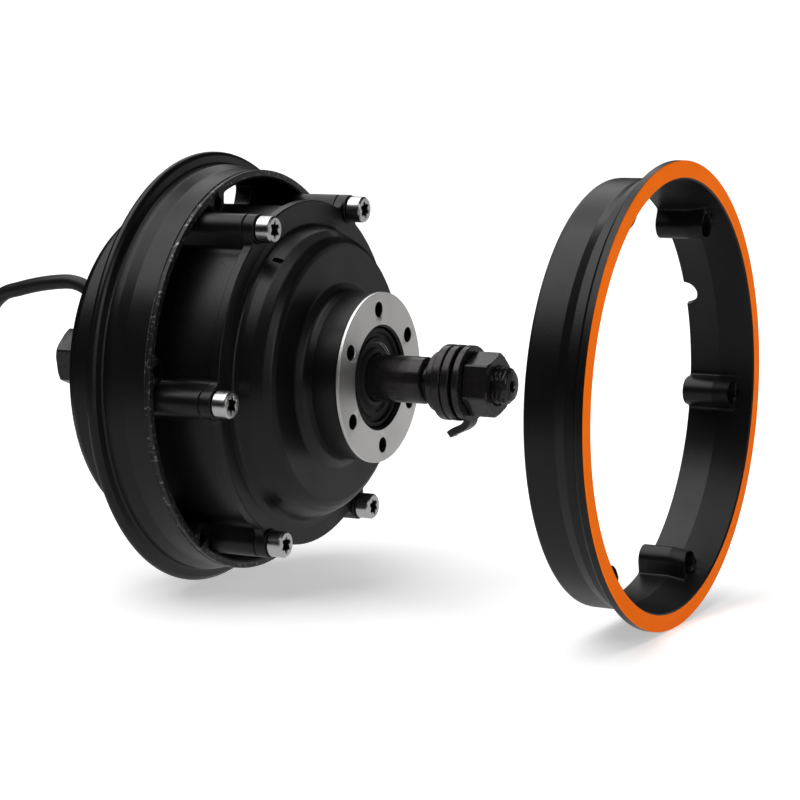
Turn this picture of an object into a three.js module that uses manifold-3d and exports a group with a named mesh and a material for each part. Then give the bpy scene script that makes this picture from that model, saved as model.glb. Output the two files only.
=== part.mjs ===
// Hub motor wheel with a split rim: the rim half on the disc side is drawn off along the axle.
// Millimetres. The axle runs along Y, +Y is the brake disc side, +Z is up.
// The origin is on the axle's centre line, at the plane where the two rim halves meet.

import * as THREE from "three";
import { mergeVertices } from "three/addons/utils/BufferGeometryUtils.js";
import Module from "manifold-3d";

const wasm = await Module();
wasm.setup();

// ---- driving dimensions ----

const GAP = 0.3;                 // clearance between neighbouring solids
const BIG_SEGMENTS = 36;         // facets round the large bodies
const SMALL_SEGMENTS = 20;       // facets round the small bodies
const PHASE = 3.3;               // how far the wheel is turned, degrees

const AXLE_R = 7.5;              // 15 mm journals
const AXLE_CORE_R = 10;
const THREAD_R = 5.9;            // M12
const FLATS = 10;                // across the flats on the threads
const AXLE_LEFT = -77.5;
const AXLE_RIGHT = 91.7;
const LEFT_SHOULDER = -59.5;
const RIGHT_SHOULDER = 62.5;

const BEARING_R = 16;            // 15 x 32 x 9 ball bearings
const BEARING_W = 9;
const BEARING_LEFT = -44.5;
const BEARING_RIGHT = 31.9;
const BALLS = 9;
const BALL_R = 2.2;
const BALL_CIRCLE = 11.75;

const DRUM_R = 54;
const DRUM_BORE = 50;
const DRUM_REAR = -41;
const DRUM_FRONT = 15.5;
const COVER_R = 56;
const DISC_Y = 45;               // machined seat of the brake disc
const DISC_R = 27.4;
const DISC_HOLE_CIRCLE = 22;     // six tapped holes on 44 mm
const DISC_HOLE_R = 2.2;

const RIM_LIP_R = 71;
const BEAD_R = 67;
const BARREL_R = 65.4;
const BARREL_BORE = 62.6;
const RIM_REAR = -20.3;
const LIP_T = 3.8;
const WEB_FRONT = -14;
const RING_WIDTH = 21;
const RING_DRAWN = 126.0;        // where the loose rim half's inner edge stands
const RING_BORE = 63.4;          // clears the cover posts as the rim half closes
const RING_MOUTH = 65.6;

const SCREW_CIRCLE = 58;
const SCREW_ANGLE = 30;
const POST_R = 4.8;
const SCREW_SEAT = 19.8;
const BOLT_CIRCLE = 61;
const BOLT_ANGLE = 21;
const BOSS_R = 4.5;
const BOLT_HOLE_R = 2.2;
const VALVE_ANGLE = -69;
const VALVE_R = 4;

const STACK_REAR = -19;          // stator lamination stack
const STACK_FRONT = 3;
const STATOR_R = 43.7;
const STATOR_BORE = 30;
const TEETH = 27;
const MAGNETS = 30;
const MAGNET_R = 46.9;
const MAGNET_T = 2.5;

const WASHER_R = 12;
const NUT_R = 10.4;              // across corners / 2
const NUT_TURN = 49.4;

const CABLE_R = 2.5;
const EXIT_ANGLE = 50;           // the lead's slope where it leaves the axle, degrees
const EXIT_Y = -47.7;            // where the lead's bore meets the axle's centre line
const FLOOR_Z = -RIM_LIP_R;
const COIL_X = 12;
const COIL_Y = -143;
const COIL_INNER = 19.3;
const COIL_OUTER = 35.5;
const COIL_BOTTOM = FLOOR_Z + 0.9;
const COIL_TOP = COIL_BOTTOM + 5;
const PLUG_R = 6.5;

// ---- helpers ----

const radians = THREE.MathUtils.degToRad;

// A point on a circle round the axle; angles run from +Z towards +X.
function around(radius, degrees, y) {
  const t = radians(degrees);
  return new THREE.Vector3(radius * Math.sin(t), y, radius * Math.cos(t));
}

// A body of revolution round Y from a closed loop of [radius, y] points, anticlockwise.
function turned(loop, segments = SMALL_SEGMENTS) {
  const points = loop.map(([r, y]) => new THREE.Vector2(r, y));
  if (loop[0][0] > 0 || loop[loop.length - 1][0] > 0) {
    points.push(points[0].clone());
  }
  return new THREE.LatheGeometry(points, segments);
}

function ringLoop(inner, outer, rear, front) {
  return [[inner, rear], [outer, rear], [outer, front], [inner, front]];
}

function rodAlongY(radius, rear, front, segments = 12) {
  const geometry = new THREE.CylinderGeometry(radius, radius, front - rear, segments);
  geometry.translate(0, (rear + front) / 2, 0);
  return geometry;
}

function boxBetween(x0, x1, y0, y1, z0, z1) {
  const geometry = new THREE.BoxGeometry(x1 - x0, y1 - y0, z1 - z0);
  geometry.translate((x0 + x1) / 2, (y0 + y1) / 2, (z0 + z1) / 2);
  return geometry;
}

// Points on an arc round the axle, as [x, z].
function arcPoints(radius, from, to, steps) {
  const points = [];
  for (let i = 0; i <= steps; i += 1) {
    const at = around(radius, from + ((to - from) * i) / steps, 0);
    points.push([at.x, at.z]);
  }
  return points;
}

// A flat plate from outline points [x, z], with its thickness along Y.
function plate(outline, rear, front, hole = null) {
  const toVectors = (points) => points.map(([x, z]) => new THREE.Vector2(x, z));
  const shape = new THREE.Shape(toVectors(outline));
  if (hole) {
    shape.holes.push(new THREE.Path(toVectors(hole)));
  }
  const geometry = new THREE.ExtrudeGeometry(shape, { depth: front - rear, bevelEnabled: false });
  geometry.rotateX(Math.PI / 2);
  geometry.translate(0, front, 0);
  return geometry;
}

function rotated(geometry, degrees) {
  return geometry.clone().rotateY(radians(degrees));
}

function solid(geometry) {
  const bare = geometry.clone();
  bare.deleteAttribute("normal");
  bare.deleteAttribute("uv");
  const merged = mergeVertices(bare, 1e-4);
  const vertProperties = new Float32Array(merged.attributes.position.array);
  const triVerts = new Uint32Array(merged.index.array);
  return new wasm.Manifold(new wasm.Mesh({ numProp: 3, vertProperties, triVerts }));
}

function toGeometry(manifold) {
  const mesh = manifold.getMesh();
  const geometry = new THREE.BufferGeometry();
  geometry.setAttribute("position", new THREE.BufferAttribute(mesh.vertProperties, 3));
  geometry.setIndex(new THREE.BufferAttribute(mesh.triVerts, 1));
  geometry.computeVertexNormals();
  return geometry;
}

function joined(parts) {
  return parts.map(solid).reduce((sum, part) => sum.add(part));
}

function cutAway(body, tools) {
  return tools.map(solid).reduce((rest, tool) => rest.subtract(tool), body);
}

function sixTimes(make) {
  return [0, 60, 120, 180, 240, 300].map(make);
}

// ---- finishes ----

function finish(color, roughness, metalness) {
  return new THREE.MeshStandardMaterial({ color, roughness, metalness });
}

const blackCast = finish(0x17181a, 0.5, 0.4);
const blackSteel = finish(0x1c1c1e, 0.35, 0.8);
const stainless = finish(0xc8c8c8, 0.25, 1.0);
const bearingSteel = finish(0xb4b6b8, 0.2, 1.0);
const rubber = finish(0x101010, 0.7, 0.0);
const blackPlastic = finish(0x151515, 0.5, 0.0);
const lamination = finish(0x6c6e72, 0.45, 0.9);
const copper = finish(0xb0622d, 0.35, 1.0);
const aluminium = finish(0xaaaeb2, 0.35, 1.0);
const magnetCoat = finish(0x9a9da0, 0.3, 1.0);
const boardGreen = finish(0x1d5a34, 0.5, 0.0);

const group = new THREE.Group();
const wheel = new THREE.Group();
wheel.rotation.y = radians(PHASE);
group.add(wheel);

function place(parent, name, geometry, material) {
  const mesh = new THREE.Mesh(geometry, material);
  mesh.name = name;
  parent.add(mesh);
  return mesh;
}

// ---- axle and what is fixed to it ----

function makeAxle() {
  const profile = [
    [0, AXLE_LEFT], [THREAD_R - 1, AXLE_LEFT], [THREAD_R, AXLE_LEFT + 1],
    [THREAD_R, LEFT_SHOULDER], [AXLE_R, LEFT_SHOULDER], [AXLE_R, -35.2],
    [AXLE_CORE_R, -35.2], [AXLE_CORE_R, 31.6], [AXLE_R, 31.6],
    [AXLE_R, RIGHT_SHOULDER - 0.8], [AXLE_R - 0.8, RIGHT_SHOULDER], [THREAD_R, RIGHT_SHOULDER],
    [THREAD_R, AXLE_RIGHT - 1], [THREAD_R - 1, AXLE_RIGHT], [0, AXLE_RIGHT],
  ];
  const flatTools = [];
  for (const side of [-1, 1]) {
    const inner = side * FLATS / 2;
    const outer = side * 12;
    const low = Math.min(inner, outer);
    const high = Math.max(inner, outer);
    flatTools.push(boxBetween(low, high, AXLE_LEFT - 5, LEFT_SHOULDER - 1.5, -12, 12));
    flatTools.push(boxBetween(low, high, RIGHT_SHOULDER + 3, AXLE_RIGHT + 5, -12, 12));
  }
  const bore = CABLE_R + 0.7;
  const way = rodAlongY(bore, -20, 0);
  way.rotateX(radians(-EXIT_ANGLE));
  way.translate(0, EXIT_Y, 0);
  const along = rodAlongY(bore, EXIT_Y - 1, -29);
  const inside = rodAlongY(bore, 0, 16);
  inside.rotateX(radians(EXIT_ANGLE));
  inside.translate(0, -30, 0);
  const centreHole = rodAlongY(1.6, AXLE_RIGHT - 5, AXLE_RIGHT + 1, 8);
  return cutAway(solid(turned(profile)), [...flatTools, way, along, inside, centreHole]);
}

place(group, "axle", toGeometry(makeAxle()), blackSteel);

function makeSpider() {
  const loop = [
    [AXLE_CORE_R + GAP, -17], [16, -17], [17, -11], [25, -11], [25, -17], [STATOR_BORE - GAP, -17],
    [STATOR_BORE - GAP, 1], [25, 1], [25, -5], [17, -5], [16, 1], [AXLE_CORE_R + GAP, 1],
  ];
  return turned(loop);
}

place(group, "stator_spider", makeSpider(), aluminium);

function makeStator() {
  const outline = [];
  const pitch = 360 / TEETH;
  const steps = [
    [34, -pitch / 2], [34, -3], [41.5, -2.7], [42.2, -5.4],
    [STATOR_R, -5.4], [STATOR_R, 5.4], [42.2, 5.4], [41.5, 2.7], [34, 3],
  ];
  for (let tooth = 0; tooth < TEETH; tooth += 1) {
    for (const [radius, offset] of steps) {
      const at = around(radius, tooth * pitch + offset, 0);
      outline.push([at.x, at.z]);
    }
  }
  const bore = arcPoints(STATOR_BORE, 360, 360 / 27, 26);
  return plate(outline, STACK_REAR, STACK_FRONT, bore);
}

place(group, "stator_core", makeStator(), lamination);

function makeWindings() {
  const endTurn = (rear, front) => turned([
    [32.5, rear], [40, rear], [41.5, (rear + front) / 2], [40, front], [32.5, front],
  ], 27);
  const parts = [endTurn(STACK_REAR - 6, STACK_REAR - GAP), endTurn(STACK_FRONT + GAP, STACK_FRONT + 6)];
  const pitch = 360 / TEETH;
  for (let slot = 0; slot < TEETH; slot += 1) {
    const bar = boxBetween(-0.9, 0.9, STACK_REAR - 1, STACK_FRONT + 1, 35, 39.5);
    parts.push(rotated(bar, (slot + 0.5) * pitch));
  }
  return joined(parts);
}

place(group, "stator_windings", toGeometry(makeWindings()), copper);

// A sector of a ring, as plate outline points.
function sector(inner, outer, from, to, steps) {
  return [...arcPoints(outer, from, to, steps), ...arcPoints(inner, to, from, steps)];
}

place(group, "hall_sensor_board", plate(sector(32, 41, 30, 150, 12), 9.5, 11), boardGreen);

function bearingInner(y) {
  return turned(ringLoop(AXLE_R + GAP, 9.3, y, y + BEARING_W), 24);
}

function bearingOuter(y) {
  return turned(ringLoop(14.2, BEARING_R, y, y + BEARING_W));
}

// The balls and their cage, as one body.
function ballCage(y) {
  const middle = y + BEARING_W / 2;
  const parts = [turned(ringLoop(11.2, 12.3, middle - 3, middle + 3), 18)];
  for (let ball = 0; ball < BALLS; ball += 1) {
    const sphere = new THREE.IcosahedronGeometry(BALL_R, 0);
    const at = around(BALL_CIRCLE, ball * 360 / BALLS, middle);
    parts.push(sphere.translate(at.x, at.y, at.z));
  }
  return toGeometry(joined(parts));
}

const bearings = [["left", BEARING_LEFT], ["right", BEARING_RIGHT]];
for (const [side, y] of bearings) {
  place(group, `bearing_inner_${side}`, bearingInner(y), bearingSteel);
  place(group, `bearing_balls_${side}`, ballCage(y), bearingSteel);
  place(wheel, `bearing_outer_${side}`, bearingOuter(y), bearingSteel);
}

function shaftSeal(rear, front) {
  return turned([
    [AXLE_R + GAP, rear], [15.9, rear], [15.9, front], [13.8, front], [13.2, front - 0.8],
    [10, front - 0.8], [9.2, front], [AXLE_R + GAP, front],
  ]);
}

place(wheel, "shaft_seal_right", shaftSeal(BEARING_RIGHT + BEARING_W + GAP, 43.8), rubber);
place(wheel, "shaft_seal_left", shaftSeal(-47.2, BEARING_LEFT - GAP), rubber);

// Nuts and washers on the two ends, from the shoulder outwards.

function washer(rear, front, outer = WASHER_R) {
  return turned(ringLoop(THREAD_R + GAP, outer, rear, front));
}

// A washer with a tab that bends towards the motor and hooks into the fork's dropout.
function hookWasher(rear, front, inward) {
  const face = inward > 0 ? front : rear;
  const depth = inward > 0 ? [rear, face + 6] : [face - 6, front];
  const reach = boxBetween(-3.2, 3.2, rear, front, -16.4, -WASHER_R + 1.5);
  const hook = boxBetween(-3.2, 3.2, depth[0], depth[1], -18, -16);
  return toGeometry(joined([washer(rear, front), reach, hook]));
}

function axleNut(rear, front) {
  const nut = new THREE.CylinderGeometry(NUT_R, NUT_R, front - rear, 6);
  nut.rotateY(radians(NUT_TURN));
  nut.translate(0, (rear + front) / 2, 0);
  const bevel = turned([
    [0, rear], [NUT_R + 0.5, rear], [NUT_R + 0.5, front - 1.2], [NUT_R - 1.5, front], [0, front],
  ]);
  const body = solid(nut).intersect(solid(bevel));
  return toGeometry(cutAway(body, [rodAlongY(THREAD_R + GAP, rear - 1, front + 1, 16)]));
}

place(group, "right_collar", washer(65.6, 68.4, 9.5), blackSteel);
place(group, "right_washer_inner", washer(68.7, 71.7), blackSteel);
place(group, "right_washer_outer", washer(72.0, 74.8), blackSteel);
place(group, "right_hook_washer", hookWasher(76.0, 78.3, -1), blackSteel);
place(group, "right_axle_nut", axleNut(78.6, 87.0), blackSteel);
place(group, "left_washer", washer(-64.8, -62.4), blackSteel);
place(group, "left_hook_washer", hookWasher(-67.3, -65.1, 1), blackSteel);
const leftNut = axleNut(67.6, 75.2);
leftNut.rotateZ(Math.PI);
place(group, "left_axle_nut", leftNut, blackSteel);

// ---- wheel: hub shell with its rim half ----

function drumLoop() {
  return [
    [16.3, -47.5], [20, -47.5], [21, -46.5], [22, DRUM_REAR], [47.5, DRUM_REAR],
    [51.5, DRUM_REAR + 1.2], [DRUM_R, DRUM_REAR + 4.5], [DRUM_R, DRUM_FRONT],
    [DRUM_BORE, DRUM_FRONT], [DRUM_BORE, DRUM_REAR + 4.5], [24, DRUM_REAR + 4.5],
    [24, -32.4], [13, -32.4], [13, -35.2], [16.3, -35.2],
  ];
}

function rimLoop() {
  return [
    [DRUM_R - 1, RIM_REAR], [RIM_LIP_R - 1, RIM_REAR], [RIM_LIP_R, RIM_REAR + 1],
    [RIM_LIP_R, RIM_REAR + LIP_T - 1.2], [RIM_LIP_R - 1, RIM_REAR + LIP_T - 0.2],
    [BEAD_R, RIM_REAR + LIP_T + 0.6], [BEAD_R - 0.2, -12], [BARREL_R, -10.8], [BARREL_R, 0],
    [BARREL_BORE, 0], [BARREL_BORE, WEB_FRONT], [DRUM_R - 1, WEB_FRONT],
  ];
}

// An opening in the web between two spokes.
function webWindow(middle) {
  return plate(sector(55.4, 61.6, middle - 21, middle + 21, 5), RIM_REAR - 2, WEB_FRONT + 2);
}

// The round post that a cover screw goes into, and the rib that ties it to the drum.
function screwPost(angle, rear, front) {
  const at = around(SCREW_CIRCLE, angle, 0);
  const post = rodAlongY(POST_R, rear, front).translate(at.x, 0, at.z);
  const rib = boxBetween(-4.2, 4.2, rear, front, DRUM_R - 2, SCREW_CIRCLE);
  return [post, rotated(rib, angle)];
}

// A boss inside the rim, where a bolt ties the two rim halves together.
function rimBoss(rear, front, angle) {
  const at = around(BOLT_CIRCLE, angle, 0);
  const core = rodAlongY(BOSS_R, rear, front).translate(at.x, 0, at.z);
  const root = boxBetween(-5.4, 5.4, rear, front, BOLT_CIRCLE, RING_BORE + 0.6);
  return [core, rotated(root, angle)];
}

function holeAt(circle, angle, radius, rear, front) {
  const at = around(circle, angle, 0);
  return rodAlongY(radius, rear, front, 8).translate(at.x, 0, at.z);
}

// Half of the round opening for the tyre's valve, cut into a barrel's mating edge.
function valveNotch(y) {
  const notch = new THREE.CylinderGeometry(VALVE_R, VALVE_R, 14, 12);
  notch.rotateX(Math.PI / 2);
  notch.translate(0, y, 64);
  return rotated(notch, VALVE_ANGLE);
}

function makeHubShell() {
  const posts = sixTimes((k) => screwPost(SCREW_ANGLE + k, WEB_FRONT - 1, DRUM_FRONT)).flat();
  const ears = sixTimes((k) => rimBoss(-7, 0, BOLT_ANGLE + k)).flat();
  const body = joined([
    turned(drumLoop(), BIG_SEGMENTS), turned(rimLoop(), BIG_SEGMENTS), ...posts, ...ears,
  ]);
  const tools = [
    ...sixTimes((k) => webWindow(k)),
    ...sixTimes((k) => holeAt(SCREW_CIRCLE, SCREW_ANGLE + k, 2.8, 0, DRUM_FRONT + 1)),
    ...sixTimes((k) => holeAt(BOLT_CIRCLE, BOLT_ANGLE + k, BOLT_HOLE_R, -9, 1)),
    valveNotch(0),
  ];
  const groove = turned(ringLoop(51.1, 52.9, DRUM_FRONT - 1.2, DRUM_FRONT + 1), BIG_SEGMENTS);
  return toGeometry(cutAway(body, [...tools, groove]));
}

place(wheel, "hub_shell", makeHubShell(), blackCast);

place(wheel, "cover_o_ring", turned(ringLoop(51.4, 52.6, 14.6, 15.2), BIG_SEGMENTS), rubber);

const yokeLoop = ringLoop(MAGNET_R + GAP, DRUM_BORE - GAP, -24, 8);
place(wheel, "magnet_yoke", turned(yokeLoop, BIG_SEGMENTS), blackSteel);

// The magnets, held on one thin film of adhesive.
function makeMagnets() {
  const pitch = 360 / MAGNETS;
  const film = MAGNET_R - 0.4;
  const face = MAGNET_R - MAGNET_T;
  const inner = [];
  for (let magnet = MAGNETS; magnet > 0; magnet -= 1) {
    for (const [radius, offset] of [[film, 5.4], [face, 5.4], [face, -5.4], [film, -5.4]]) {
      const at = around(radius, magnet * pitch + offset, 0);
      inner.push([at.x, at.z]);
    }
  }
  return plate(arcPoints(MAGNET_R, 0, 360 - 360 / 60, 59), -22, 6, inner);
}

place(wheel, "magnet_ring", makeMagnets(), magnetCoat);

// ---- wheel: front cover and its screws ----

function coverLoop() {
  return [
    [49.6, 12], [49.6, DRUM_FRONT + GAP], [COVER_R, DRUM_FRONT + GAP], [COVER_R, 18.6],
    [COVER_R - 0.4, 19], [49.6, 19], [48.2, 19.6], [47.4, 21.2], [46.3, 24.6], [44.4, 27.8],
    [42.4, 29.8], [41.2, 30.4], [30.6, 30.4], [28.4, 31.5], [26.9, 34.1], [26.9, 43.6],
    [DISC_R, 44.1], [DISC_R, DISC_Y], [16.9, DISC_Y], [16.3, DISC_Y - 0.6], [16.3, 31.6],
    [13.3, 31.6], [13.3, 27], [38.5, 26.2], [42.6, 23.4], [45, 17], [46.2, 12],
  ];
}

function makeCover() {
  const ears = sixTimes((k) => screwPost(SCREW_ANGLE + k, DRUM_FRONT + GAP, SCREW_SEAT)).flat();
  const body = joined([turned(coverLoop(), BIG_SEGMENTS), ...ears]);
  const tools = [
    ...sixTimes((k) => holeAt(DISC_HOLE_CIRCLE, k, DISC_HOLE_R, 36.5, DISC_Y + 1)),
    ...sixTimes((k) => holeAt(SCREW_CIRCLE, SCREW_ANGLE + k, 2.8, DRUM_FRONT, SCREW_SEAT + 1)),
  ];
  return toGeometry(cutAway(body, tools));
}

place(wheel, "front_cover", makeCover(), blackCast);

// M5 cap screw with a six-sided socket, standing at the origin.
function capScrew() {
  const loop = [
    [0, 2], [2.5, 2], [2.5, SCREW_SEAT + GAP], [4.25, SCREW_SEAT + GAP],
    [4.25, SCREW_SEAT + 4.9], [3.8, SCREW_SEAT + 5.3], [0, SCREW_SEAT + 5.3],
  ];
  const socket = rodAlongY(2.2, SCREW_SEAT + 2.8, SCREW_SEAT + 6, 6);
  return toGeometry(cutAway(solid(turned(loop, 16)), [socket]));
}

sixTimes((k) => {
  const screw = place(wheel, `cover_screw_${k / 60 + 1}`, capScrew(), stainless);
  screw.position.copy(around(SCREW_CIRCLE, SCREW_ANGLE + k, 0));
  return screw;
});

// ---- loose rim half ----

function makeRimHalf() {
  const mate = RING_WIDTH;
  const loop = [
    [RING_BORE, 0], [BARREL_R, 0], [BARREL_R, 10.8], [BEAD_R - 0.2, 12],
    [BEAD_R, mate - LIP_T - 0.6], [RIM_LIP_R - 1, mate - LIP_T + 0.2],
    [RIM_LIP_R, mate - LIP_T + 1.2], [RIM_LIP_R, mate], [RING_MOUTH, mate], [RING_BORE, 10],
  ];
  const bosses = sixTimes((k) => rimBoss(0, 15.5, BOLT_ANGLE + k)).flat();
  const body = joined([turned(loop, BIG_SEGMENTS), ...bosses]);
  const tools = [
    ...sixTimes((k) => holeAt(BOLT_CIRCLE, BOLT_ANGLE + k, BOLT_HOLE_R, -1, 16)),
    ...sixTimes((k) => holeAt(BOLT_CIRCLE, BOLT_ANGLE + k, 3.6, 11.5, 16)),
    valveNotch(0),
  ];
  return toGeometry(cutAway(body, tools));
}

const rimHalf = place(wheel, "outer_rim_half", makeRimHalf(), blackCast);
rimHalf.position.y = RING_DRAWN;

// ---- motor cable ----

// A tube along a smooth curve through points given in millimetres.
function tubeAlong(points, radius, steps, sides = 8) {
  const shape = new THREE.Shape();
  for (let i = 0; i < sides; i += 1) {
    const t = (i * 2 * Math.PI) / sides;
    const x = radius * Math.cos(t);
    const y = radius * Math.sin(t);
    if (i === 0) {
      shape.moveTo(x, y);
    } else {
      shape.lineTo(x, y);
    }
  }
  const curve = new THREE.CatmullRomCurve3(points.map((p) => new THREE.Vector3(...p)));
  return new THREE.ExtrudeGeometry(shape, { steps, bevelEnabled: false, extrudePath: curve });
}

// The lead leaves the axle upwards, arches over the dropout and comes down to the coil.
const leadRoute = [
  [0, -65.7, 21.4], [0, -69.4, 24.6], [0, -74, 26.2], [0, -80, 26.3], [0, -88, 25.3],
  [-0.5, -97, 23], [-1.5, -105, 19.2], [-3.5, -111, 12.5], [-5.5, -115, 3], [-7.5, -117.5, -9],
  [-9, -119, -22], [-10.5, -120.5, -35], [-11.5, -122, -46], [-11.8, -125, -55.5],
  [-11, -130.5, -62],
];

place(group, "motor_cable", tubeAlong(leadRoute, CABLE_R, 48), rubber);

// A tapered sleeve round the lead, just outside its hole in the axle.
function makeGrommet(start, length) {
  const sleeve = new THREE.CylinderGeometry(CABLE_R + 0.55, CABLE_R + 0.2, length, 12);
  sleeve.translate(0, -start - length / 2, 0);
  sleeve.rotateX(radians(-EXIT_ANGLE));
  return sleeve.translate(0, EXIT_Y, 0);
}

place(group, "cable_grommet", makeGrommet(12.8, 14.6), rubber);

const coil = turned(ringLoop(COIL_INNER, COIL_OUTER, COIL_BOTTOM, COIL_TOP), 24);
coil.rotateX(Math.PI / 2);
coil.translate(COIL_X, COIL_Y, 0);
place(group, "cable_coil", coil, rubber);

// The tie is a band round the coil's turns, on its +X side.
function makeTie() {
  const low = COIL_X + COIL_INNER - 0.9;
  const high = COIL_X + COIL_OUTER + 0.6;
  const y = COIL_Y;
  const band = boxBetween(low, high, y - 2, y + 2, FLOOR_Z, COIL_TOP + 0.9);
  const inside = boxBetween(low + 0.6, high - 0.3, y - 3, y + 3, COIL_BOTTOM - GAP, COIL_TOP + GAP);
  return toGeometry(cutAway(solid(band), [inside]));
}

place(group, "cable_tie", makeTie(), blackPlastic);

// The round plug on the lead's end lies beside the coil, and its cap nut turns on its nose.
const plugX = COIL_X - 32.8;
const plugZ = FLOOR_Z + PLUG_R + 1;
const plugLoop = [
  [0, -197], [PLUG_R - 1, -197], [PLUG_R - 1, -183], [PLUG_R, -182], [PLUG_R, -171],
  [3.4, -168.5], [2.9, -163.5], [0, -163.5],
];
const plug = turned(plugLoop);
plug.translate(plugX, 0, plugZ);
place(group, "motor_plug", plug, blackPlastic);
const capNut = turned(ringLoop(PLUG_R - 1 + GAP, PLUG_R + 1, -195, -183.5), 16);
capNut.translate(plugX, 0, plugZ);
place(group, "plug_cap_nut", capNut, blackPlastic);

export default group;
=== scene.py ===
"""A hub motor wheel with one rim half drawn off its motor.

The axle lies along Y with the brake disc's side at +Y, and +Z is up. Profiles are in
millimetres, as [radius, y] round the axle. The lead's route, the camera, the lights and
the scene itself are in metres.
"""

import math

import bmesh
import bpy
from mathutils import Matrix, Vector


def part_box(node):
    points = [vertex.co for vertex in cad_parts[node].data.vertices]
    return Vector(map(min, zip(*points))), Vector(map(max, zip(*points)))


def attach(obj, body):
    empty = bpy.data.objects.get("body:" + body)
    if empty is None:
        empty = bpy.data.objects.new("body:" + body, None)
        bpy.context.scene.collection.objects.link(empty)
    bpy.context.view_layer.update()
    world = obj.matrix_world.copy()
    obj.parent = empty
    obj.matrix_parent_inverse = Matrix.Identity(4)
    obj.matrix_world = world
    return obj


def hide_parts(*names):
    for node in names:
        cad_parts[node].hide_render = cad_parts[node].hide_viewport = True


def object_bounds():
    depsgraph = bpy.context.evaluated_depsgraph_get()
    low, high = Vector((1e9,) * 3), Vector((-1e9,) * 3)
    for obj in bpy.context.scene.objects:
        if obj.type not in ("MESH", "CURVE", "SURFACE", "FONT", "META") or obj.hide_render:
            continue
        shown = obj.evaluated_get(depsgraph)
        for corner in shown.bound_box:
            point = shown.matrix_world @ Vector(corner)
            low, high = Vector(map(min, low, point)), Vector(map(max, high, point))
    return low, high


MM = 0.001
FULL_TURN = 2 * math.pi
WHEEL_TURN = math.radians(3.3)      # how far the wheel stands turned on its axle
SMOOTH_BELOW = math.radians(32)     # faces that meet at a larger angle keep a sharp edge
CABLE_DIAMETER = 0.005

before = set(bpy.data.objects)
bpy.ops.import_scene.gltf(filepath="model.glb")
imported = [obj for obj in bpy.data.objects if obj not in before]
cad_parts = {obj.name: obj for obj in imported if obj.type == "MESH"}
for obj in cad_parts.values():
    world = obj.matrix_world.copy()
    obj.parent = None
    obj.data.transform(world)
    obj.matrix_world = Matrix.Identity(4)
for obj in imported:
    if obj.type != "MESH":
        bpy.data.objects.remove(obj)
size_at_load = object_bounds()


def span(node, axis):
    """The lowest and highest coordinate of a CAD node along one axis, in millimetres."""
    low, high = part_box(node)
    return low[axis] / MM, high[axis] / MM


FLOOR_Z = size_at_load[0][2]
RING_Y = span("outer_rim_half", 1)[0]

# ---- camera ----

camera = bpy.data.objects.new("camera", bpy.data.cameras.new("camera"))
bpy.context.scene.collection.objects.link(camera)
camera.data.sensor_width = 36
camera.data.lens = 112.5
camera.location = (0.69850, 0.42309, 0.09863)
aim = Vector((-0.87536, -0.46506, -0.13216))
camera.rotation_euler = aim.to_track_quat("-Z", "Y").to_euler()
bpy.context.scene.camera = camera

# ---- materials ----


class Finish:
    """A Principled material with helpers for the few node groups that the finishes share."""

    def __init__(self, name, colour, roughness, metallic=0.0, specular=0.5):
        self.material = bpy.data.materials.new(name)
        self.material.use_nodes = True
        self.nodes = self.material.node_tree.nodes
        self.links = self.material.node_tree.links
        self.shader = self.nodes["Principled BSDF"]
        self.shader.inputs["Base Color"].default_value = (*colour, 1)
        self.shader.inputs["Roughness"].default_value = roughness
        self.shader.inputs["Metallic"].default_value = metallic
        self.shader.inputs["Specular IOR Level"].default_value = specular
        self.height = None
        self.where = self.nodes.new("ShaderNodeTexCoord").outputs["Object"]

    def noise(self, scale, detail=3.0, stretch=None):
        """Cloudy noise in object space; stretch scales it apart on X, Y and Z."""
        source = self.where
        if stretch:
            mapping = self.nodes.new("ShaderNodeMapping")
            mapping.inputs["Scale"].default_value = stretch
            self.links.new(source, mapping.inputs["Vector"])
            source = mapping.outputs["Vector"]
        texture = self.nodes.new("ShaderNodeTexNoise")
        texture.inputs["Scale"].default_value = scale
        texture.inputs["Detail"].default_value = detail
        self.links.new(source, texture.inputs["Vector"])
        return texture.outputs["Fac"]

    def spread(self, value, from_low, from_high, to_low, to_high):
        """value with one range mapped on to another, and held at its ends."""
        node = self.nodes.new("ShaderNodeMapRange")
        node.inputs["From Min"].default_value = from_low
        node.inputs["From Max"].default_value = from_high
        node.inputs["To Min"].default_value = to_low
        node.inputs["To Max"].default_value = to_high
        self.links.new(value, node.inputs["Value"])
        return node.outputs["Result"]

    def vary_roughness(self, value, low, high):
        self.links.new(self.spread(value, 0.3, 0.7, low, high), self.shader.inputs["Roughness"])
        return self

    def bump(self, value, depth_mm, strength=1.0):
        """Adds relief of this depth on top of the relief that is there already."""
        node = self.nodes.new("ShaderNodeBump")
        node.inputs["Distance"].default_value = depth_mm * MM
        node.inputs["Strength"].default_value = strength
        self.links.new(value, node.inputs["Height"])
        if self.height:
            self.links.new(self.height, node.inputs["Normal"])
        self.height = node.outputs["Normal"]
        self.links.new(self.height, self.shader.inputs["Normal"])
        return self

    def blend_colour(self, value, first, second):
        node = self.nodes.new("ShaderNodeMix")
        node.data_type = "RGBA"
        self.links.new(value, node.inputs["Factor"])
        node.inputs["A"].default_value = (*first, 1)
        node.inputs["B"].default_value = (*second, 1)
        self.links.new(node.outputs["Result"], self.shader.inputs["Base Color"])
        return self

    def spun(self, amount):
        """Streaks the highlights round the axle, as turning on a lathe leaves them."""
        tangent = self.nodes.new("ShaderNodeTangent")
        tangent.direction_type = "RADIAL"
        tangent.axis = "Y"
        self.links.new(tangent.outputs["Tangent"], self.shader.inputs["Tangent"])
        self.shader.inputs["Anisotropic"].default_value = amount
        return self


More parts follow.
